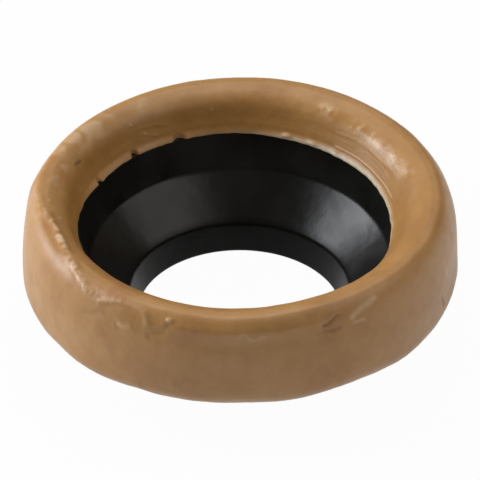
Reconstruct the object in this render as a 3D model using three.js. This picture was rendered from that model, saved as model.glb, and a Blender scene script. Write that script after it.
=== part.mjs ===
// Toilet pan seal: a ring of soft brown plumbing wax cast round a black moulded plastic horn.
// The horn is a short funnel. Its flat rim is buried in the wax, its cone narrows the waste's way,
// and its spout reaches down past the wax into the drain pipe. The seal stands on the spout's end.
// Millimetres, +Z up, origin at the centre of the spout's end.

import * as THREE from "three";

// Wax ring
const waxOuterRadius = 63.5; // 5 in across
const waxBedHeight = 13.3; // flat underside of the wax, above the spout's end
const waxHeight = 31; // flat underside to crest, about 1 1/4 in
const crestRadius = 56.2; // middle of the crest
const crestLand = 1.6; // width of the narrow flat on top of the crest
const outerShoulderHeight = 10; // above the bed, where the outer wall starts to lean in
const outerShoulderPower = 2.1; // 2 is an ellipse, and more is squarer
const bedCornerRadius = 6.5; // outer bottom corner
const boreCornerRadius = 2.5; // inner bottom corner
const lipRadius = 45.5; // the wax's inner edge over the horn's rim
const lipPower = 1.4; // the inner slope, between a straight chamfer at 1 and an ellipse at 2
const lipShift = -1.15; // the wax's bore was cast this far off the horn's axis, along X

// Plastic horn
const hornWall = 1.7;
const spoutEndRadius = 29.9; // inside
const spoutTopRadius = 32.1; // inside
const spoutLength = 8.8; // end to the foot of the cone
const coneTopRadius = 43.9; // inside
const coneRise = 11.6;
const collarTopRadius = 47.3; // inside
const collarRise = 11.8; // top of the cone to the rim's upper face
const rimRadius = 54.5; // outer edge of the buried rim
const spoutFillet = 2.2;
const coneFillet = 2.4;
const rimFillet = 1.2;
const spoutEdgeBreak = 0.35; // chamfer on the spout's end

// Clearance between the wax and the plastic that it was cast on
const castGap = 0.3;

// Hand pressing: how far the soft wax is out of true, and how often it swings round the ring
const outerWaves = [
  { height: 0.22, turns: 2, phase: 0.4 },
  { height: 0.2, turns: 3, phase: 2.1 },
  { height: 0.12, turns: 7, phase: 1.2 },
];
const crestWaves = [
  { height: 0.25, turns: 2, phase: 3.6 },
  { height: 0.2, turns: 5, phase: 0.8 },
];
// One shoulder was pinched up into a low ridge
const pinch = { bearing: 218, halfWidth: 34, rise: 0.7 };

// Facets
const turnSteps = 72;
const filletSteps = 3;
const shoulderSteps = 8;
const cornerSteps = 4;

const wax = new THREE.MeshStandardMaterial({ color: 0xb4875a, roughness: 0.5, metalness: 0 });
const plastic = new THREE.MeshStandardMaterial({ color: 0x151412, roughness: 0.35, metalness: 0 });

const point = (r, z) => new THREE.Vector2(r, z);

const lineCross = (a, alongA, b, alongB) => {
  const offset = b.clone().sub(a);
  return a.clone().addScaledVector(alongA, offset.cross(alongB) / alongA.cross(alongB));
};

// The corners of a line moved sideways, to its right, with each fillet grown or shrunk to stay parallel
function parallelCorners(corners, distance) {
  const directions = corners.slice(1).map((corner, i) => corner.at.clone().sub(corners[i].at).normalize());
  const toTheRight = (direction) => point(direction.y, -direction.x).multiplyScalar(distance);
  return corners.map((corner, i) => {
    const before = directions[Math.max(i - 1, 0)];
    const after = directions[Math.min(i, directions.length - 1)];
    const start = corner.at.clone().add(toTheRight(before));
    if (before === after) return { at: start, fillet: 0 };
    const end = corner.at.clone().add(toTheRight(after));
    const turn = Math.sign(before.cross(after));
    return { at: lineCross(start, before, end, after), fillet: corner.fillet + turn * distance };
  });
}

// A line through the corners, with each fillet drawn as an arc
function filletedLine(corners) {
  return corners.flatMap(({ at, fillet }, i) => {
    if (i === 0 || i === corners.length - 1 || fillet <= 0) return [at];
    const toBefore = corners[i - 1].at.clone().sub(at).normalize();
    const toAfter = corners[i + 1].at.clone().sub(at).normalize();
    const halfAngle = Math.acos(toBefore.dot(toAfter)) / 2;
    const middle = toBefore.clone().add(toAfter).normalize();
    const centre = at.clone().addScaledVector(middle, fillet / Math.sin(halfAngle));
    const start = at.clone().addScaledVector(toBefore, fillet / Math.tan(halfAngle)).sub(centre);
    const sweep = (Math.PI - 2 * halfAngle) * Math.sign(toAfter.cross(toBefore));
    return Array.from({ length: filletSteps + 1 }, (_, step) => {
      const angle = (sweep * step) / filletSteps;
      return start.clone().rotateAround(point(0, 0), angle).add(centre);
    });
  });
}

// A quarter of a superellipse from (centre + size.x, centre) round to (centre, centre + size.y)
function quarterCurve(centre, size, power, steps) {
  return Array.from({ length: steps + 1 }, (_, step) => {
    const angle = (Math.PI / 2) * (step / steps);
    const across = Math.max(Math.cos(angle), 0) ** (2 / power);
    const up = Math.sin(angle) ** (2 / power);
    return point(centre.x + size.x * across, centre.y + size.y * up);
  });
}

// The horn's inner face, from the spout's end up to the outer edge of the rim
const coneFootHeight = spoutLength;
const coneTopHeight = coneFootHeight + coneRise;
const rimHeight = coneTopHeight + collarRise;
const hornInside = [
  { at: point(spoutEndRadius, 0), fillet: 0 },
  { at: point(spoutTopRadius, coneFootHeight), fillet: spoutFillet },
  { at: point(coneTopRadius, coneTopHeight), fillet: coneFillet },
  { at: point(collarTopRadius, rimHeight), fillet: rimFillet },
  { at: point(rimRadius, rimHeight), fillet: 0 },
];

// Where a straight line through two points reaches a height
const atHeight = (a, b, z) => point(a.x + ((b.x - a.x) * (z - a.y)) / (b.y - a.y), z);

function hornSection() {
  const outside = parallelCorners(hornInside, hornWall);
  const inner = filletedLine(hornInside);
  const outer = filletedLine([{ at: atHeight(outside[0].at, outside[1].at, 0), fillet: 0 }, ...outside.slice(1)]);
  const [innerEnd, outerEnd] = [inner[0], outer[0]];
  return [
    point(innerEnd.x + spoutEdgeBreak, 0),
    atHeight(innerEnd, inner[1], spoutEdgeBreak),
    ...inner.slice(1),
    ...outer.slice(1).reverse(),
    atHeight(outerEnd, outer[1], spoutEdgeBreak),
    point(outerEnd.x - spoutEdgeBreak, 0),
  ];
}

const waxCrestHeight = waxBedHeight + waxHeight;
const lipHeight = rimHeight + castGap;

function waxSection() {
  const cavity = parallelCorners(hornInside, hornWall + castGap);
  const [shoulder, rimFoot] = [cavity[2].at, cavity[3]];
  const boreRadius = shoulder.x;
  const rimClear = rimRadius + castGap;
  const boreCorner = point(boreRadius + boreCornerRadius, waxBedHeight + boreCornerRadius);
  const bedCorner = point(waxOuterRadius - bedCornerRadius, waxBedHeight + bedCornerRadius);
  const outerLand = crestRadius + crestLand / 2;
  const innerLand = crestRadius - crestLand / 2;
  const shoulderBase = waxBedHeight + outerShoulderHeight;
  const cornerSize = point(boreCornerRadius, boreCornerRadius);
  const bedSize = point(bedCornerRadius, bedCornerRadius);
  return [
    ...quarterCurve(boreCorner, cornerSize.negate(), 2, cornerSteps).reverse(),
    ...filletedLine([{ at: shoulder, fillet: 0 }, rimFoot, { at: point(rimClear, rimFoot.at.y), fillet: 0 }]),
    point(rimClear, lipHeight),
    ...quarterCurve(
      point(innerLand, lipHeight),
      point(lipRadius - innerLand, waxCrestHeight - lipHeight),
      lipPower,
      shoulderSteps,
    ),
    ...quarterCurve(
      point(outerLand, shoulderBase),
      point(waxOuterRadius - outerLand, waxCrestHeight - shoulderBase),
      outerShoulderPower,
      shoulderSteps,
    ).reverse(),
    ...quarterCurve(bedCorner, point(bedSize.x, -bedSize.y), 2, cornerSteps),
  ];
}

// The section turned about Z. A section runs up the inside and down the outside, and a lathe wants the reverse.
function turned(section) {
  const geometry = new THREE.LatheGeometry([...section, section[0]].reverse(), turnSteps);
  return geometry.rotateX(Math.PI / 2);
}

const waveAt = (waves, bearing) =>
  waves.reduce((sum, wave) => sum + wave.height * Math.sin(wave.turns * bearing + wave.phase), 0);

const pinchAt = (bearing) => {
  const apart = Math.abs(THREE.MathUtils.euclideanModulo(bearing - pinch.bearing + 180, 360) - 180);
  return pinch.rise * Math.cos((Math.min(apart / pinch.halfWidth, 1) * Math.PI) / 2) ** 2;
};

// Moves the wax's free faces out of true. The bed and the faces cast on the horn stay true.
function pressByHand(geometry) {
  const position = geometry.getAttribute("position");
  const vertex = new THREE.Vector3();
  for (let i = 0; i < position.count; i += 1) {
    vertex.fromBufferAttribute(position, i);
    const bearing = Math.atan2(vertex.y, vertex.x);
    const radius = Math.hypot(vertex.x, vertex.y);
    const outward = THREE.MathUtils.smoothstep(radius, crestRadius, waxOuterRadius);
    const upward = THREE.MathUtils.smoothstep(vertex.z, lipHeight, waxCrestHeight);
    const aboveBed = THREE.MathUtils.smoothstep(vertex.z, waxBedHeight, waxBedHeight + bedCornerRadius);
    const pinched = pinchAt(THREE.MathUtils.radToDeg(bearing));
    const swell = outward * aboveBed * (waveAt(outerWaves, bearing) + upward * pinched);
    const lift = upward * (waveAt(crestWaves, bearing) + outward * pinched);
    const isAboveRim = vertex.z > rimHeight;
    const inward = isAboveRim ? 1 - THREE.MathUtils.smoothstep(radius, lipRadius, rimRadius) : 0;
    vertex.x += swell * Math.cos(bearing) + inward * lipShift;
    vertex.y += swell * Math.sin(bearing);
    vertex.z += lift;
    position.setXYZ(i, vertex.x, vertex.y, vertex.z);
  }
  return geometry;
}

function node(name, geometry, material) {
  const mesh = new THREE.Mesh(geometry, material);
  mesh.name = name;
  return mesh;
}

const seal = new THREE.Group();
seal.add(node("wax_ring", pressByHand(turned(waxSection())), wax));
seal.add(node("plastic_horn", turned(hornSection()), plastic));

export default seal;
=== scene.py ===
"""Toilet pan seal: a ring of soft brown plumbing wax cast round a black moulded plastic horn.

The sizes are the CAD model's, in millimetres. Meshes are made in millimetres and scaled to metres.
"Bearing" is the angle round the ring in degrees from +X. "Run" is the distance in millimetres along
the wax's free face, from its lip on the horn, up the inner slope, over the crest and down the outside.
"""
import math

import bpy
import numpy as np
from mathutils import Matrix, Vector, noise

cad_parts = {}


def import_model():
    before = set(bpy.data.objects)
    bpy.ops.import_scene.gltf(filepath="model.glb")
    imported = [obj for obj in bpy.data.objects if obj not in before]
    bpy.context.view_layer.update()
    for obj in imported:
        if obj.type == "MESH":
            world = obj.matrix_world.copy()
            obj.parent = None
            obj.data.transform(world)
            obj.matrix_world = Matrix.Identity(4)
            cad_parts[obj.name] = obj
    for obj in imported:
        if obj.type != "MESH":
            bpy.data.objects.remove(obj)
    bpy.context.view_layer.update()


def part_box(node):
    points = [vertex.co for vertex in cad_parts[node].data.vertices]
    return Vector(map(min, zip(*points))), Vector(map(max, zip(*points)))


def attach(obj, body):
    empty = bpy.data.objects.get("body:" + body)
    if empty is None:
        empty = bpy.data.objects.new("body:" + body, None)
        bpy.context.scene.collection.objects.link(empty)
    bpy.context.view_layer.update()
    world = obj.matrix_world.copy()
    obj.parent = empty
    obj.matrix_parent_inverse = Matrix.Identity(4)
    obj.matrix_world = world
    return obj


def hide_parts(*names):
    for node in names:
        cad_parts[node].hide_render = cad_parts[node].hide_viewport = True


MM = 0.001

# Plastic horn, inside
HORN_WALL = 1.7
SPOUT_END_RADIUS = 29.9
SPOUT_TOP_RADIUS = 32.1
CONE_TOP_RADIUS = 43.9
COLLAR_TOP_RADIUS = 47.3
RIM_RADIUS = 54.5
CONE_FOOT_HEIGHT = 8.8
CONE_TOP_HEIGHT = 20.4
RIM_HEIGHT = 32.2
SPOUT_EDGE_BREAK = 0.35
SPOUT_FILLET, CONE_FILLET, RIM_FILLET = 2.2, 2.4, 1.2
HORN_CORNERS = (
    (SPOUT_END_RADIUS, 0, 0),
    (SPOUT_TOP_RADIUS, CONE_FOOT_HEIGHT, SPOUT_FILLET),
    (CONE_TOP_RADIUS, CONE_TOP_HEIGHT, CONE_FILLET),
    (COLLAR_TOP_RADIUS, RIM_HEIGHT, RIM_FILLET),
    (RIM_RADIUS, RIM_HEIGHT, 0),
)

# Wax ring
WAX_OUTER_RADIUS = 63.5
WAX_BED_HEIGHT = 13.3
WAX_CREST_HEIGHT = WAX_BED_HEIGHT + 31
CREST_RADIUS = 56.2
CREST_LAND = 1.6
SHOULDER_HEIGHT = WAX_BED_HEIGHT + 10
SHOULDER_POWER = 2.1
BED_CORNER_RADIUS = 6.5
BORE_CORNER_RADIUS = 2.5
LIP_RADIUS = 45.5
LIP_HEIGHT = RIM_HEIGHT + 0.3
LIP_POWER = 1.4
LIP_SHIFT = -1.15
# How far the wax's mesh stands off the plastic, beside it and over the rim
CLEARANCE, RIM_CLEARANCE = 0.05, 0.04
# Waves of the hand-pressed wax, as height, times round the ring, and phase
OUTER_WAVES = ((0.22, 2, 0.4), (0.2, 3, 2.1), (0.12, 7, 1.2))
CREST_WAVES = ((0.25, 2, 3.6), (0.2, 5, 0.8))
PINCH_BEARING, PINCH_HALF_WIDTH, PINCH_RISE = 218, 34, 0.7

# Fineness of the meshes
WAX_TURN_STEPS = 640
WAX_SPACING = 0.5
LIP_FINE_RUN, LIP_FINE_SPACING = 4, 0.25
# The run given to buried points, which is out of reach of every mark
BURIED_RUN = -50
HORN_TURN_STEPS = 360
HORN_SPACING = 0.5

# Handled wax: where the face lies inside the turned shape, as run, half width, and depth by bearing
WORN = (
    (10, 6, ((0, -0.5), (30, -0.55), (60, -0.8), (120, -0.8), (160, -0.65), (200, -0.5), (360, -0.5))),
    (17, 8, ((80, 0), (88, 0.25), (97, 0.3), (106, 0))),
    (23, 9, (
        (20, 0), (32, -0.3), (65, -0.3), (80, 0), (95, 0), (118, 0.5), (132, 0.75), (148, 0.95),
        (158, 0.6), (166, 0), (172, -0.5), (184, -0.3), (195, 0),
    )),
    (27, 4, ((247, 0), (256, 0.2), (285, 0.2), (296, 0))),
    (38, 10, ((-25, 0), (-12, 0.4), (12, 0.4), (25, 0))),
    (49.5, 8, (
        (215, 0), (222, -0.6), (229, -0.4), (242, 0.55), (250, 0.4), (257, 0.5), (265, 0.8), (272, 0.95),
        (280, 0.6), (287, 0.7), (296, 1.0), (305, 0.95), (312, 0.5), (320, -0.1), (328, 0),
    )),
)
# The rough edge along the pinched shoulder: a line of (bearing, run), its half width, and its rise by bearing
BURR_LINE = (
    (176, 19.6), (186, 17.7), (194, 15.9), (199, 15.6), (205, 16.1), (213, 17.7), (219, 19.4), (224, 21.5),
    (230, 23.2),
)
BURR_HALF_WIDTH = 2.0
BURR_RISE = (
    (172, 0), (180, 0.2), (188, 0.35), (193, 0.75), (197, 0.5), (202, 0.9), (207, 0.6), (213, 0.45),
    (219, 0.8), (225, 0.6), (229, 0.3), (233, 0.1),
)
BURR_WOBBLE = 0.35
BURR_CRUMBLE = 0.45
# Where a thumb has polished the inner slope, as a line of (bearing, run); it is also tinted pale there,
# partly a smear and partly a painted highlight
POLISHED_LINE = ((61, 11.6), (52, 11.0), (43, 10.7), (37, 9.9), (24, 9.7), (13, 10.8))
POLISHED_HALF_WIDTH = 3.4
POLISHED_WOBBLE = 1.2
POLISHED_RELIEF = 0.12
# The rest of the free face: broad and small lumps, and how far it lies in from the turned shape
LUMPY_RELIEF, HANDLED_RELIEF, SHRINKAGE = 0.14, 0.06, 0.1
# Ridges and scratches, as rise, half width, tint (pale above 0, dark below) and points of (bearing, run)
LINES = (
    # Flap, front left; the dents under and beside it are tinted dark as painted shadow
    (0.3, 1.4, 0.12, (
        (230, 23.2), (233, 21.5), (236, 20.4), (239, 20.1), (242, 20.4), (244, 21.2), (245, 23.8),
    )),
    (-0.2, 1.6, -0.1, ((226, 28.6), (231, 25.7), (233, 25.2), (236, 26.2), (237, 27.6))),
    (0.25, 1.0, 0.35, ((237, 26.8), (239, 26.8), (240.5, 26.2))),
    (-0.3, 1.5, -0.12, ((246, 27.2), (248, 25.7), (250, 24.2), (251, 23.0))),
    # Lower edge of the front shoulder, and a scrape on it
    (0.2, 2.2, 0, ((250, 23.0), (262, 23.3), (280, 23.3), (291, 23.0))),
    (0.14, 0.6, 0.25, ((270, 24.1), (271, 22.9), (273, 25.4), (277, 24.4))),
    # Nicks and smears, front right
    (-0.4, 0.7, -0.45, ((292.5, 24.4), (294, 24.0), (295, 23.4), (297, 22.4))),
    (-0.3, 0.7, -0.3, ((292.5, 25.8), (295, 26.2), (297, 26.0))),
    (0.15, 1.3, 0.5, ((301, 24.4), (304, 22.7), (306, 22.4), (309, 21.6))),
    (0.1, 0.9, 0.4, ((301.5, 26), (304.5, 26.2))),
    (-0.3, 0.9, -0.4, ((336, 38.2), (337, 40.2), (338, 42.7))),
    # Nick on the left of the inner slope
    (-0.35, 0.7, -0.7, ((160.5, 10.3), (157, 9.6))),
    # Thread of wax above the lip, and drag marks over it
    (0.22, 0.4, 0.6, ((50, 2.4), (39, 2.7), (26, 2.6), (12, 2.9))),
    (0.16, 0.5, 0.15, ((52, 6.4), (43, 7.3), (35, 7.3))),
    (0.16, 0.5, 0.15, ((36, 6.9), (26, 7.2), (16, 7.8))),
    # Scrapes on the back of the inner slope
    (0.12, 0.6, 0.05, ((127, 7.2), (120, 6.4), (116, 5.7))),
    (0.1, 0.6, 0.04, ((128, 5.5), (120, 3.0))),
)
MARK_WOBBLE = 0.35
# Lumps of wax, as bearing, run, half length, half height and rise; the small ones are pale crumbs
LUMPS = (
    (236.5, 24.5, 9, 4.5, 0.3),
    (270, 22.6, 30, 5, 0.45),
    (251, 21.2, 1.4, 1.0, 0.6),
    (70.5, 1.1, 2.1, 1.0, 0.55),
    (60, 0.9, 2.8, 1.0, 0.45),
    (130, 9.1, 0.7, 0.7, 0.3),
    (125, 5.0, 0.8, 0.6, 0.3),
    (99, 7.4, 0.7, 0.6, 0.25),
    (58, 11.3, 1.0, 0.9, 0.25),
    (191, 12.5, 0.8, 0.8, 0.3),
    (183, 15.2, 0.7, 0.7, 0.25),
)
CRUMB_HALF_LENGTH = 3
CRUMB_TINT = 0.5
LIP_RAGGEDNESS = 0.2
# Places where the lip has broken back and shows the horn's rim, as bearing, half width in degrees and depth
LIP_NOTCHES = ((152.8, 1.5, 1.5), (131.5, 2.0, 2.0), (112, 3.4, 1.6))
# How far the lip reaches in past its circle, by bearing
LIP_REACH = (
    (-40, 0), (-20, -0.3), (-5, 0.4), (10, 0.5), (35, 0.4), (50, 0.7), (72, 0.7), (84, 0.1), (98, 0.1),
    (108, 0.5), (140, 0.6), (152, 0.9), (163, 0.1), (178, -0.4), (192, -0.4), (205, 0), (320, 0),
)
# How wide and how strong the pale film of thin wax along the lip is, by bearing
FILM_WIDTH = (
    (-40, 0.5), (-20, 0.8), (5, 1.0), (40, 1.4), (60, 1.2), (75, 1.0), (90, 0.8), (110, 0.5), (150, 0.5),
    (200, 0.3), (320, 0.3),
)
FILM_STRENGTH = (
    (-40, 0.4), (-20, 0.6), (5, 0.9), (35, 1), (60, 0.9), (75, 0.6), (90, 0.4), (150, 0.35), (200, 0.2),
    (320, 0.2),
)
# Paler blotches on the crest: the middle bearing and run, and half the size each way
BLOTCHED_BEARING, BLOTCHED_HALF_TURN = 150, 45
BLOTCHED_RUN, BLOTCHED_HALF_HEIGHT = 15.5, 8
# The inner slope is duller and painted a deeper brown as shade up to about here, and streaked round this
# bearing
SLOPE_END = (8, 12)
STREAKED_BEARING, STREAKED_HALF_TURN = 35, 60


# Section tools: points are rows of (radius, height)

def quarter_curve(centre, size, power, steps=60):
    """A superellipse's quarter, from beside the centre round to above it."""
    angle = np.linspace(0, math.pi / 2, steps)
    across = np.maximum(np.cos(angle), 0) ** (2 / power)
    rise = np.sin(angle) ** (2 / power)
    return np.column_stack((centre[0] + size[0] * across, centre[1] + size[1] * rise))


def respaced(points, spacing, fine_end=0, fine_spacing=1):
    """The same line with even spacing, finer up to fine_end, and each new point's run along it."""
    points = np.asarray(points, float)
    run = np.concatenate(([0], np.cumsum(np.hypot(*np.diff(points, axis=0).T))))
    keep = np.concatenate(([True], np.diff(run) > 1e-9))
    run, points = run[keep], points[keep]
    fine = np.arange(0, fine_end, fine_spacing)
    coarse_steps = round((run[-1] - fine_end) / spacing)
    at = np.concatenate((fine, np.linspace(fine_end, run[-1], coarse_steps + 1)))
    return at, np.column_stack([np.interp(at, run, points[:, i]) for i in (0, 1)])


def cross(a, b):
    return a[0] * b[1] - a[1] * b[0]


def parallel_corners(corners, distance):
    """The corners of a line moved sideways, to its right, with fillets that stay parallel."""
    at = [np.array(corner[:2], float) for corner in corners]
    ways = [(b - a) / np.linalg.norm(b - a) for a, b in zip(at, at[1:])]
    moved = []
    for i, corner in enumerate(corners):
        before, after = ways[max(i - 1, 0)], ways[min(i, len(ways) - 1)]
        start = at[i] + distance * np.array((before[1], -before[0]))
        turn = cross(before, after)
        if abs(turn) < 1e-9:
            moved.append((*start, 0))
            continue
        end = at[i] + distance * np.array((after[1], -after[0]))
        place = start + before * cross(end - start, after) / turn
        moved.append((*place, corner[2] + math.copysign(distance, turn)))
    return moved


def filleted_line(corners, steps=8):
    line = []
    for i, (x, y, fillet) in enumerate(corners):
        at = np.array((x, y))
        if i in (0, len(corners) - 1) or fillet <= 0:
            line.append(at)
            continue
        back = np.array(corners[i - 1][:2]) - at
        on = np.array(corners[i + 1][:2]) - at
        back, on = back / np.linalg.norm(back), on / np.linalg.norm(on)
        half_angle = math.acos(float(back @ on)) / 2
        middle = (back + on) / np.linalg.norm(back + on)
        centre = at + middle * fillet / math.sin(half_angle)
        spoke = at + back * fillet / math.tan(half_angle) - centre
        sweep = math.copysign(math.pi - 2 * half_angle, cross(on, back))
        for angle in np.linspace(0, sweep, steps + 1):
            turn = np.array(((math.cos(angle), -math.sin(angle)), (math.sin(angle), math.cos(angle))))
            line.append(centre + turn @ spoke)
    return np.array(line)


def at_height(a, b, z):
    return np.array((a[0] + (b[0] - a[0]) * (z - a[1]) / (b[1] - a[1]), z))


def wax_free_face():
    """From the lip up the inner slope, over the crest and down the outside to the flat bed."""
    inner_land = CREST_RADIUS - CREST_LAND / 2
    outer_land = CREST_RADIUS + CREST_LAND / 2
    slope = quarter_curve(
        (inner_land, LIP_HEIGHT), (LIP_RADIUS - inner_land, WAX_CREST_HEIGHT - LIP_HEIGHT), LIP_POWER
    )
    shoulder = quarter_curve(
        (outer_land, SHOULDER_HEIGHT),
        (WAX_OUTER_RADIUS - outer_land, WAX_CREST_HEIGHT - SHOULDER_HEIGHT),
        SHOULDER_POWER,
    )
    corner = (WAX_OUTER_RADIUS - BED_CORNER_RADIUS, WAX_BED_HEIGHT + BED_CORNER_RADIUS)
    bed = quarter_curve(corner, (BED_CORNER_RADIUS, -BED_CORNER_RADIUS), 2)
    return np.vstack((slope, shoulder[::-1], bed))


def wax_buried_face():
    """From the flat bed in along the underside, up the horn's outside and round its rim to the lip."""
    cavity = parallel_corners(HORN_CORNERS, HORN_WALL + CLEARANCE)
    shoulder, rim_foot = cavity[2], cavity[3]
    rim_clear = RIM_RADIUS + CLEARANCE
    rim_top = RIM_HEIGHT + RIM_CLEARANCE
    bore = (shoulder[0] + BORE_CORNER_RADIUS, WAX_BED_HEIGHT + BORE_CORNER_RADIUS)
    bore_corner = quarter_curve(bore, (-BORE_CORNER_RADIUS, -BORE_CORNER_RADIUS), 2, 9)[::-1]
    bed_corner = WAX_OUTER_RADIUS - BED_CORNER_RADIUS
    bed = np.column_stack((np.linspace(bed_corner, bore[0], 8)[1:-1], np.full(6, WAX_BED_HEIGHT)))
    groove = filleted_line(((*shoulder[:2], 0), rim_foot, (rim_clear, rim_foot[1], 0)), 4)
    under_lip = np.array(((rim_clear, rim_top), (50, rim_top)))
    return np.vstack((bed, bore_corner, groove, under_lip))


def horn_section():
    inner = filleted_line(HORN_CORNERS)
    outside = parallel_corners(HORN_CORNERS, HORN_WALL)
    foot = at_height(outside[0], outside[1], 0)
    outer = filleted_line(((*foot, 0), *outside[1:]))
    return np.vstack((
        (inner[0][0] + SPOUT_EDGE_BREAK, 0),
        at_height(inner[0], inner[1], SPOUT_EDGE_BREAK),
        inner[1:],
        outer[:0:-1],
        at_height(outer[0], outer[1], SPOUT_EDGE_BREAK),
        (outer[0][0] - SPOUT_EDGE_BREAK, 0),
    ))


def section_normals(section):
    """Unit normals of a closed section, to the left of its direction of travel."""
    along = np.roll(section, -1, 0) - np.roll(section, 1, 0)
    normal = np.column_stack((-along[:, 1], along[:, 0]))
    return normal / np.linalg.norm(normal, axis=1)[:, None]


# Mesh tools

def ring_faces(turns, around):
    i, j = np.meshgrid(np.arange(turns), np.arange(around), indexing="ij")
    i, j = i.ravel(), j.ravel()
    on, up = (i + 1) % turns, (j + 1) % around
    return np.column_stack((i * around + j, i * around + up, on * around + up, on * around + j))


def mesh_object(name, points, faces, material):
    """A smooth-shaded object from points in millimetres."""
    mesh = bpy.data.meshes.new(name)
    mesh.from_pydata((np.asarray(points) * MM).tolist(), [], np.asarray(faces).tolist())
    mesh.shade_smooth()
    mesh.materials.append(material)
    piece = bpy.data.objects.new(name, mesh)
    bpy.context.scene.collection.objects.link(piece)
    return piece


def add_attribute(piece, name, values):
    attribute = piece.data.attributes.new(name, "FLOAT", "POINT")
    attribute.data.foreach_set("value", np.asarray(values, np.float32).ravel())


def smoothstep(x, low, high):
    t = np.clip((np.asarray(x, float) - low) / (high - low), 0, 1)
    return t * t * (3 - 2 * t)


def bump(x, half_width):
    """1 at the middle, falling smoothly to 0 at the half width."""
    return np.cos(np.minimum(np.abs(x) / half_width, 1) * math.pi / 2) ** 2


def grain(points, size, seed, octaves=2):
    """Smooth noise from about -1 to 1 at each point, with lumps of about that size."""
    shifted = np.asarray(points) / size + seed * 17.3
    return np.array([noise.fractal(Vector(p), 1.0, 2.0, octaves) for p in shifted])


def apart(bearing, middle):
    """Signed angle from the middle bearing, in degrees."""
    return (bearing - middle + 180) % 360 - 180


# The wax's shape

def waved(bearing, waves):
    return sum(height * np.sin(turns * bearing + phase) for height, turns, phase in waves)


def pressed(points):
    """Moves the wax's free faces out of true, as the CAD model does."""
    x, y, z = points.T
    bearing, radius = np.arctan2(y, x), np.hypot(x, y)
    outward = smoothstep(radius, CREST_RADIUS, WAX_OUTER_RADIUS)
    upward = smoothstep(z, LIP_HEIGHT, WAX_CREST_HEIGHT)
    above_bed = smoothstep(z, WAX_BED_HEIGHT, WAX_BED_HEIGHT + BED_CORNER_RADIUS)
    pinched = PINCH_RISE * bump(apart(np.degrees(bearing), PINCH_BEARING), PINCH_HALF_WIDTH)
    swell = outward * above_bed * (waved(bearing, OUTER_WAVES) + upward * pinched)
    inward = np.where(z > RIM_HEIGHT, 1 - smoothstep(radius, LIP_RADIUS, RIM_RADIUS), 0)
    return np.column_stack((
        x + swell * np.cos(bearing) + inward * LIP_SHIFT,
        y + swell * np.sin(bearing),
        z + upward * (waved(bearing, CREST_WAVES) + outward * pinched),
    ))


def by_bearing(bearing, table):
    """A value looked up by bearing in a table that goes round the ring."""
    at, values = np.array(table, float).T
    middle = (at[0] + at[-1]) / 2
    return np.interp(apart(bearing, middle) + middle, at, values)


def distance_to_line(bearing, run, radius, line):
    """Distance in millimetres on the surface to a line of (bearing, run) points."""
    scale = np.radians(1) * radius
    nearest = np.full(np.broadcast(bearing, run).shape, 1e3)
    for (b0, s0), (b1, s1) in zip(line, line[1:]):
        across, up = (b1 - b0) * scale, s1 - s0
        x, y = apart(bearing, b0) * scale, run - s0
        t = np.clip((x * across + y * up) / (across ** 2 + up ** 2), 0, 1)
        nearest = np.minimum(nearest, np.hypot(x - t * across, y - t * up))
    return nearest


class WaxSkin:
    """The turned wax before it is handled, as a grid of turns by section points, and the noise on it."""

    def __init__(self):
        free_run, free = respaced(wax_free_face(), WAX_SPACING, LIP_FINE_RUN, LIP_FINE_SPACING)
        buried = wax_buried_face()
        section = np.vstack((free, buried))
        self.shape = (WAX_TURN_STEPS, len(section))
        self.bearing = np.linspace(0, 360, WAX_TURN_STEPS, endpoint=False)[:, None]
        self.run = np.concatenate((free_run, np.full(len(buried), BURIED_RUN)))[None, :]
        self.radius = section[None, :, 0]
        turn = np.radians(self.bearing)
        self.away = np.stack((np.cos(turn), np.sin(turn), np.zeros_like(turn)), -1)
        self.points = self.turned(section)
        self.outward = self.turned(section_normals(section))
        self.lumpy = self.grained(15, 1)
        self.handled = self.grained(5, 2)
        self.crumbly = self.grained(1.4, 3)
        self.ragged = self.grained(3.2, 4, (1, 1, 0))

    def turned(self, rows):
        """Rows of (radius, height) turned round the ring."""
        return rows[None, :, 0, None] * self.away + rows[None, :, 1, None] * np.array((0, 0, 1))

    def grained(self, size, seed, axes=(1, 1, 1)):
        return grain(self.points.reshape(-1, 3) * axes, size, seed).reshape(self.shape)

    def near_line(self, line, half_width, wobble):
        """1 on a line of (bearing, run) points, falling smoothly to 0 at the half width."""
        distance = distance_to_line(self.bearing, self.run, self.radius, line)
        return bump(distance + wobble, half_width)

    def near_point(self, bearing, run, half_length, half_height):
        across = np.radians(apart(self.bearing, bearing)) * self.radius / half_length
        return bump(np.hypot(across, (self.run - run) / half_height), 1)

    def near_lip(self, end_low, end_high):
        """1 at the lip and on the point under it, falling to 0 between the two runs."""
        near = np.where(self.run >= 0, 1 - smoothstep(self.run, end_low, end_high), 0)
        near[:, -1] = 1
        return near


def burr(skin):
    near = skin.near_line(BURR_LINE, BURR_HALF_WIDTH, BURR_WOBBLE * skin.crumbly)
    return near * by_bearing(skin.bearing, BURR_RISE)


def polished(skin):
    return skin.near_line(POLISHED_LINE, POLISHED_HALF_WIDTH, POLISHED_WOBBLE * skin.handled)


def marks(skin):
    """The rise and the tint of the ridges, scratches and lumps."""
    rise = tint = 0
    for height, half_width, shade, line in LINES:
        near = skin.near_line(line, half_width, MARK_WOBBLE * skin.crumbly * half_width)
        rise, tint = rise + height * near, tint + shade * near
    for bearing, run, half_length, half_height, height in LUMPS:
        near = skin.near_point(bearing, run, half_length, half_height)
        is_crumb = half_length < CRUMB_HALF_LENGTH
        rise, tint = rise + height * near, tint + is_crumb * CRUMB_TINT * near
    return rise, tint


def worn_depth(skin):
    return sum(
        bump(skin.run - run, half_width) * by_bearing(skin.bearing, depths)
        for run, half_width, depths in WORN
    )


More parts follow.
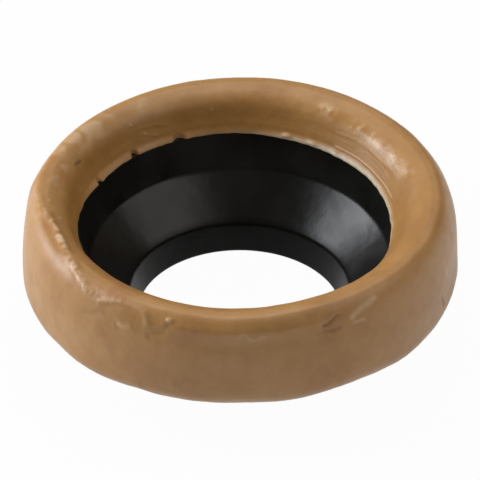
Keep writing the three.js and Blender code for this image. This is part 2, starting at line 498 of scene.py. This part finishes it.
def relief(skin, raised):
    """How far the handled wax stands out from the turned shape."""
    is_free = smoothstep(skin.run, 0.3, 2.5) * (1 - smoothstep(skin.run, 53, 54.5))
    uneven = LUMPY_RELIEF * skin.lumpy + HANDLED_RELIEF * skin.handled - SHRINKAGE - worn_depth(skin)
    crumbled = burr(skin) * (1 + BURR_CRUMBLE * skin.crumbly)
    return is_free * uneven + crumbled + POLISHED_RELIEF * polished(skin) * skin.handled + raised


def lip_shift(skin):
    """How far the wax near the lip lies out from its true circle."""
    notches = sum(depth * bump(apart(skin.bearing, at), half_turn) for at, half_turn, depth in LIP_NOTCHES)
    edge = notches - by_bearing(skin.bearing, LIP_REACH) + LIP_RAGGEDNESS * skin.ragged
    return skin.near_lip(0, 2.2) * edge


def tints(skin, tint):
    """What the wax's material reads: each a share from 0 to 1 at each point."""
    rubbed = polished(skin)
    blotched = bump(apart(skin.bearing, BLOTCHED_BEARING), BLOTCHED_HALF_TURN)
    blotched = blotched * bump(skin.run - BLOTCHED_RUN, BLOTCHED_HALF_HEIGHT)
    # Pale on the burr: partly crumbs of pale wax, partly a painted highlight along the edge
    crumbs_and_highlight = burr(skin) * smoothstep(skin.crumbly + 0.3 * skin.handled, -0.1, 0.5)
    # Pale along the polished line: partly a smear of thin wax, partly a painted highlight
    smears_and_highlight = 0.45 * rubbed * smoothstep(skin.handled + 0.4 * skin.crumbly, -0.1, 0.4)
    blotches = 0.45 * blotched * smoothstep(skin.handled + 0.5 * skin.lumpy, -0.1, 0.5)
    pale_marks = np.maximum(tint, 0) * (0.9 + 0.6 * skin.crumbly)
    width = by_bearing(skin.bearing, FILM_WIDTH) * (1 + 0.35 * skin.ragged)
    # The slope share also sets where the inner slope is painted a deeper brown as shade
    slope = smoothstep(skin.run, 0.5, 3) * (1 - smoothstep(skin.run + 1.2 * skin.handled, *SLOPE_END))
    streaked = 0.25 + 0.75 * bump(apart(skin.bearing, STREAKED_BEARING), STREAKED_HALF_TURN)
    return {
        "pale": np.clip(crumbs_and_highlight + smears_and_highlight + blotches + pale_marks, 0, 1),
        "polished": rubbed,
        "film": skin.near_lip(width * 0.5, width * 1.4) * by_bearing(skin.bearing, FILM_STRENGTH),
        "dark": np.clip(-tint, 0, 1),
        "slope": slope,
        "streaked": slope * streaked,
    }


def wax_ring(material):
    skin = WaxSkin()
    raised, tint = marks(skin)
    points = pressed(skin.points.reshape(-1, 3)).reshape(skin.points.shape)
    points = points + relief(skin, raised)[..., None] * skin.outward + lip_shift(skin)[..., None] * skin.away
    inside_the_solid = np.clip(points.reshape(-1, 3), *np.array(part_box("wax_ring")) / MM)
    piece = mesh_object("wax_surface", inside_the_solid, ring_faces(*skin.shape), material)
    for name, values in tints(skin, tint).items():
        add_attribute(piece, name, values)
    return piece


def plastic_horn(material):
    _, section = respaced(horn_section(), HORN_SPACING)
    radius, height = np.tile(section, (HORN_TURN_STEPS, 1)).T
    angle = np.repeat(np.linspace(0, 2 * math.pi, HORN_TURN_STEPS, endpoint=False), len(section))
    points = np.column_stack((radius * np.cos(angle), radius * np.sin(angle), height))
    return mesh_object("horn_surface", points, ring_faces(HORN_TURN_STEPS, len(section)), material)


# Materials

def new_material(name):
    material = bpy.data.materials.new(name)
    material.use_nodes = True
    return material, material.node_tree, material.node_tree.nodes["Principled BSDF"]


def put(tree, socket, value):
    """Links the value to the socket, or sets it."""
    if isinstance(value, bpy.types.NodeSocket):
        tree.links.new(value, socket)
    else:
        socket.default_value = value


def add(tree, kind, inputs=None, **settings):
    """A node with its settings, and its inputs set or linked."""
    node = tree.nodes.new(f"ShaderNode{kind}")
    for name, value in settings.items():
        setattr(node, name, value)
    for name, value in (inputs or {}).items():
        put(tree, node.inputs[name], value)
    return node


def noise_node(tree, vector, scale, detail=3, roughness=0.5):
    inputs = {"Vector": vector, "Scale": scale, "Detail": detail, "Roughness": roughness}
    return add(tree, "TexNoise", inputs).outputs["Fac"]


def ramp(tree, factor, *stops):
    node = add(tree, "ValToRGB", {"Fac": factor})
    elements = node.color_ramp.elements
    while len(elements) < len(stops):
        elements.new(1)
    for element, (position, colour) in zip(elements, stops):
        element.position = position
        element.color = (*colour, 1)
    return node.outputs["Color"]


def mix(tree, factor, first, second):
    node = add(tree, "Mix", {"Factor": factor}, data_type="RGBA")
    for socket, value in ((node.inputs[6], first), (node.inputs[7], second)):
        put(tree, socket, (*value, 1) if isinstance(value, tuple) else value)
    return node.outputs[2]


def calculate(tree, operation, first, second):
    node = tree.nodes.new("ShaderNodeMath")
    node.operation = operation
    for socket, value in zip(node.inputs, (first, second)):
        put(tree, socket, value)
    return node.outputs[0]


def spread(tree, value, low, high):
    """Noise, which mostly lies between 0.3 and 0.7, made to run from low to high."""
    inputs = {"Value": value, "From Min": 0.3, "From Max": 0.7, "To Min": low, "To Max": high}
    return add(tree, "MapRange", inputs).outputs[0]


def round_the_ring(tree, position, stretch):
    """Coordinates that are stretched along the ring's turn, for streaks."""
    parts = add(tree, "SeparateXYZ", {"Vector": position}).outputs
    flat = add(tree, "CombineXYZ", {"X": parts["X"], "Y": parts["Y"]}).outputs[0]
    radius = add(tree, "VectorMath", {0: flat}, operation="LENGTH").outputs["Value"]
    turned = add(tree, "VectorMath", {0: flat}, operation="NORMALIZE").outputs["Vector"]
    turned = add(tree, "SeparateXYZ", {"Vector": turned}).outputs
    around = [calculate(tree, "MULTIPLY", turned[axis], stretch) for axis in "XY"]
    across = calculate(tree, "ADD", parts["Z"], radius)
    return add(tree, "CombineXYZ", {"X": around[0], "Y": around[1], "Z": across}).outputs[0]


def bumped(tree, height, distance, strength=1.0, normal=None):
    inputs = {"Height": height, "Distance": distance, "Strength": strength}
    if normal is not None:
        inputs["Normal"] = normal
    return add(tree, "Bump", inputs).outputs["Normal"]


def attribute(tree, name):
    return add(tree, "Attribute", attribute_name=name).outputs["Fac"]


WAX_BROWN = (0.385, 0.180, 0.050)
WAX_TAN = (0.445, 0.222, 0.065)
WAX_LIGHT = (0.49, 0.257, 0.084)
WAX_PALE = (0.78, 0.56, 0.36)
WAX_FILM = (0.56, 0.46, 0.31)
# Deeper brown painted on the inner slope as shade
WAX_SLOPE_SHADE = (0.30, 0.15, 0.038)
WAX_DARK = (0.12, 0.05, 0.018)


def wax_material():
    """Satin petroleum wax: mottled tan, pale where crumbled or smeared thin and with painted highlights on
    the burr and the polished streak, painted shade as a deeper brown on the inner slope and as dark dents by
    the flap, streaked on the inner slope.
    """
    material, tree, shader = new_material("plumbing_wax")
    position = add(tree, "NewGeometry").outputs["Position"]
    clouds = noise_node(tree, position, 55, 4, 0.6)
    mottle = noise_node(tree, position, 260, 3, 0.55)
    streaks = noise_node(tree, round_the_ring(tree, position, 0.008), 500, 3, 0.6)

    broad, small = calculate(tree, "MULTIPLY", clouds, 0.75), calculate(tree, "MULTIPLY", mottle, 0.25)
    tone = calculate(tree, "ADD", broad, small)
    colour = ramp(tree, tone, (0.34, WAX_BROWN), (0.48, WAX_TAN), (0.64, WAX_LIGHT))
    # Painted shade: the inner slope's brown is mixed towards a deeper brown
    colour = mix(tree, calculate(tree, "MULTIPLY", attribute(tree, "slope"), 0.4), colour, WAX_SLOPE_SHADE)
    colour = mix(tree, attribute(tree, "pale"), colour, WAX_PALE)
    colour = mix(tree, attribute(tree, "film"), colour, WAX_FILM)
    # Dark: painted shadow in the dents under and beside the flap, and the darker nicks
    colour = mix(tree, attribute(tree, "dark"), colour, WAX_DARK)
    tree.links.new(colour, shader.inputs["Base Color"])
    gloss = calculate(tree, "MULTIPLY", attribute(tree, "polished"), 0.18)
    roughness = calculate(tree, "SUBTRACT", spread(tree, clouds, 0.48, 0.38), gloss)
    tree.links.new(roughness, shader.inputs["Roughness"])

    fine = noise_node(tree, position, 700, 3, 0.6)
    normal = bumped(tree, fine, 0.00010, 0.4)
    normal = bumped(tree, mottle, 0.0003, 0.5, normal)
    streaks = calculate(tree, "MULTIPLY", streaks, attribute(tree, "streaked"))
    normal = bumped(tree, streaks, 0.0004, 0.45, normal)
    tree.links.new(normal, shader.inputs["Normal"])
    dull = calculate(tree, "MULTIPLY", attribute(tree, "slope"), 0.4)
    tree.links.new(calculate(tree, "SUBTRACT", 0.7, dull), shader.inputs["Specular IOR Level"])
    shader.inputs["Subsurface Weight"].default_value = 0.15
    shader.inputs["Subsurface Radius"].default_value = (1, 0.5, 0.25)
    shader.inputs["Subsurface Scale"].default_value = 0.002
    return material


PLASTIC_DARK = (0.0045, 0.0042, 0.0036)
PLASTIC_LIGHT = (0.0065, 0.0062, 0.0056)
SCUFFED_BELOW = 9.5 * MM


def plastic_material():
    """Black polyethylene: a cloudy satin gloss and faint draw marks, and a scuffed dull spout."""
    material, tree, shader = new_material("black_polyethylene")
    position = add(tree, "NewGeometry").outputs["Position"]
    clouds = noise_node(tree, position, 75, 3, 0.55)
    grainy = noise_node(tree, position, 1400, 2, 0.5)
    draw_marks = noise_node(tree, round_the_ring(tree, position, 0.02), 500, 2, 0.5)
    colour = ramp(tree, clouds, (0.35, PLASTIC_DARK), (0.65, PLASTIC_LIGHT))
    tree.links.new(colour, shader.inputs["Base Color"])
    tree.links.new(spread(tree, clouds, 0.26, 0.38), shader.inputs["Roughness"])
    height = add(tree, "SeparateXYZ", {"Vector": position}).outputs["Z"]
    sheen = {"Value": height, "From Min": SCUFFED_BELOW - MM, "From Max": SCUFFED_BELOW + MM}
    sheen |= {"To Min": 0.12, "To Max": 0.4}
    tree.links.new(add(tree, "MapRange", sheen).outputs[0], shader.inputs["Specular IOR Level"])
    normal = bumped(tree, clouds, 0.0005, 0.5)
    normal = bumped(tree, draw_marks, 0.00003, 0.5, normal)
    normal = bumped(tree, grainy, 0.00003, 0.5, normal)
    tree.links.new(normal, shader.inputs["Normal"])
    return material


FLOOR_GLOW = 0.97


def floor_material():
    """White to the camera and in reflections, with a faint shadow, and clear from below."""
    material, tree, shader = new_material("pale_floor")
    shader.inputs["Base Color"].default_value = (0.7, 0.7, 0.7, 1)
    shader.inputs["Roughness"].default_value = 0.9
    path = add(tree, "LightPath").outputs
    seen = path["Is Camera Ray"]
    for kind in ("Is Glossy Ray", "Is Transmission Ray"):
        seen = calculate(tree, "MAXIMUM", seen, path[kind])
    glow = add(tree, "Emission", {"Strength": 1.0}).outputs[0]
    mixed = add(tree, "MixShader", {"Fac": calculate(tree, "MULTIPLY", seen, FLOOR_GLOW)})
    tree.links.new(shader.outputs[0], mixed.inputs[1])
    tree.links.new(glow, mixed.inputs[2])
    below = add(tree, "NewGeometry").outputs["Backfacing"]
    surface = add(tree, "MixShader", {"Fac": below})
    tree.links.new(mixed.outputs[0], surface.inputs[1])
    tree.links.new(add(tree, "BsdfTransparent").outputs[0], surface.inputs[2])
    tree.links.new(surface.outputs[0], tree.nodes["Material Output"].inputs["Surface"])
    return material


# Surroundings

CAMERA_ELEVATION = math.radians(37.35)
CAMERA_DISTANCE = 1.2
CAMERA_AIM = Vector((0.00009, 0, 0.027))
CAMERA_LENS = 309


def add_camera():
    data = bpy.data.cameras.new("camera")
    data.lens = CAMERA_LENS
    data.clip_end = 50
    camera = bpy.data.objects.new("camera", data)
    bpy.context.scene.collection.objects.link(camera)
    away = Vector((0, -math.cos(CAMERA_ELEVATION), math.sin(CAMERA_ELEVATION)))
    camera.location = CAMERA_AIM + away * CAMERA_DISTANCE
    camera.rotation_euler = (math.pi / 2 - CAMERA_ELEVATION, 0, 0)
    bpy.context.scene.camera = camera


COOL_WHITE = (0.97, 1.0, 1.05)
WARM_WHITE = (1.0, 0.97, 0.91)
LAMP_DISTANCE = 1.1


def add_softbox(name, azimuth, elevation, size, power, colour):
    """A rectangular lamp that faces the object from an azimuth and elevation in degrees."""
    data = bpy.data.lights.new(name, "AREA")
    data.shape = "RECTANGLE"
    data.size, data.size_y = size
    data.energy = power
    data.color = colour
    lamp = bpy.data.objects.new(name, data)
    bpy.context.scene.collection.objects.link(lamp)
    turn, rise = math.radians(azimuth), math.radians(elevation)
    away = Vector((math.cos(rise) * math.cos(turn), math.cos(rise) * math.sin(turn), math.sin(rise)))
    lamp.location = away * LAMP_DISTANCE
    lamp.rotation_euler = (-away).to_track_quat("-Z", "Y").to_euler()


def add_world():
    world = bpy.data.worlds.new("studio")
    bpy.context.scene.world = world
    world.use_nodes = True
    background = world.node_tree.nodes["Background"]
    background.inputs["Color"].default_value = (*WARM_WHITE, 1)
    background.inputs["Strength"].default_value = 0.16


def add_floor():
    size, depth = 12, -0.05 * MM
    corners = [(-size, -size, depth), (size, -size, depth), (size, size, depth), (-size, size, depth)]
    mesh = bpy.data.meshes.new("floor")
    mesh.from_pydata(corners, [], [(0, 1, 2, 3)])
    mesh.materials.append(floor_material())
    floor = bpy.data.objects.new("floor", mesh)
    bpy.context.scene.collection.objects.link(floor)


def main():
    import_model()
    bpy.context.scene.view_settings.view_transform = "Standard"
    wax = wax_ring(wax_material())
    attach(wax, "root")
    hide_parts("wax_ring")
    horn = plastic_horn(plastic_material())
    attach(horn, "root")
    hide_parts("plastic_horn")
    add_floor()
    add_world()
    add_camera()
    add_softbox("key", 168, 25, (0.75, 0.65), 11.7, COOL_WHITE)
    add_softbox("overhead", 90, 68, (0.8, 0.8), 3.9, WARM_WHITE)
    add_softbox("fill", -15, 42, (0.9, 0.9), 2.9, WARM_WHITE)


main()
